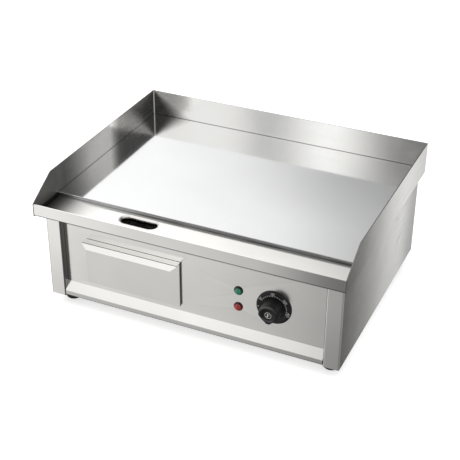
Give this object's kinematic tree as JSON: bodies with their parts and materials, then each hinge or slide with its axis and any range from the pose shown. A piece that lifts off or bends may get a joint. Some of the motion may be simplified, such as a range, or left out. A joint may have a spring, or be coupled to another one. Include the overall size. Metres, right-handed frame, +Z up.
{
  "type": "electric griddle",
  "caption": "Counter-top electric griddle: polished plate inside splash guards, grease gutter with drip slot, pull-out grease drawer and thermostat knob.",
  "frame": {"origin": "on the ground, under the centre of the footprint", "axes": "+X to the right along the front, +Y to the back, +Z up; the controls face -Y"},
  "size_m": [0.55, 0.43, 0.24],
  "materials": {
    "brushed_steel": "fine brushed stainless, semi-bright",
    "polished_plate": "polished to a soft mirror",
    "zinc_steel": "bright zinc plate",
    "foot_rubber": "matt black",
    "element_sheath": "heat-darkened sheath",
    "mineral_wool": "fibrous felt",
    "aluminised_sheet": "dull aluminised",
    "steatite": "unglazed",
    "black_plastic": "moulded, semi-gloss",
    "copper": "plain copper",
    "green_lens": "clear coloured lens",
    "red_lens": "clear coloured lens",
    "white_nylon": "moulded",
    "brass": "turned",
    "brown_lead": "silicone insulation",
    "blue_lead": "silicone insulation",
    "earth_lead_green": "silicone insulation"
  },
  "bodies": {
    "chassis": {"left_side_panel": "brushed_steel", "right_side_panel": "brushed_steel", "front_panel": "brushed_steel", "back_panel": "brushed_steel", "left_splash_guard": "brushed_steel", "right_splash_guard": "brushed_steel", "back_splash_guard": "brushed_steel", "grease_gutter": "brushed_steel", "cooking_plate": "polished_plate", "base_pan": "zinc_steel", "drip_chute": "zinc_steel", "left_drawer_rail": "zinc_steel", "right_drawer_rail": "zinc_steel", "drawer_rail_bracket": "zinc_steel", "bulb_clip": "zinc_steel", "back_screw_lower_left": "zinc_steel", "back_screw_lower_right": "zinc_steel", "back_screw_upper_left": "zinc_steel", "back_screw_upper_right": "zinc_steel", "front_clamp_bar": "zinc_steel", "front_left_clamp_nut": "zinc_steel", "front_right_clamp_nut": "zinc_steel", "middle_clamp_bar": "zinc_steel", "middle_left_clamp_nut": "zinc_steel", "middle_right_clamp_nut": "zinc_steel", "rear_clamp_bar": "zinc_steel", "rear_left_clamp_nut": "zinc_steel", "rear_right_clamp_nut": "zinc_steel", "front_left_foot": "foot_rubber", "front_left_foot_screw": "zinc_steel", "front_right_foot": "foot_rubber", "front_right_foot_screw": "zinc_steel", "rear_left_foot": "foot_rubber", "rear_left_foot_screw": "zinc_steel", "rear_right_foot": "foot_rubber", "rear_right_foot_screw": "zinc_steel", "left_heating_element": "element_sheath", "right_heating_element": "element_sheath", "insulation_blanket": "mineral_wool", "heat_shield": "aluminised_sheet", "thermostat_body": "steatite", "terminal_block": "steatite", "dial_ring": "black_plastic", "cable_gland": "black_plastic", "gland_lock_nut": "black_plastic", "sensing_bulb": "copper", "capillary_tube": "copper", "green_lamp_lens": "green_lens", "red_lamp_lens": "red_lens", "green_lamp_body": "white_nylon", "red_lamp_body": "white_nylon", "earth_stud": "brass", "live_lead": "brown_lead", "right_element_lead": "blue_lead", "left_element_lead": "blue_lead", "earth_lead": "earth_lead_green"},
    "grease_drawer": {"drawer_tray": "brushed_steel", "drawer_front": "brushed_steel"},
    "knob": {"thermostat_knob": "black_plastic", "thermostat_spindle": "zinc_steel"}
  },
  "joints": [
    {"name": "drawer_slide", "type": "slide", "parent": "chassis", "child": "grease_drawer", "axis": [0, -1, 0], "range_m": [0, 0.17]},
    {"name": "knob_turn", "type": "hinge", "parent": "chassis", "child": "knob", "pos_m": [0.1482, -0.19, 0.1018], "axis": [0, 1, 0], "range_deg": [0, 285]}
  ]
}
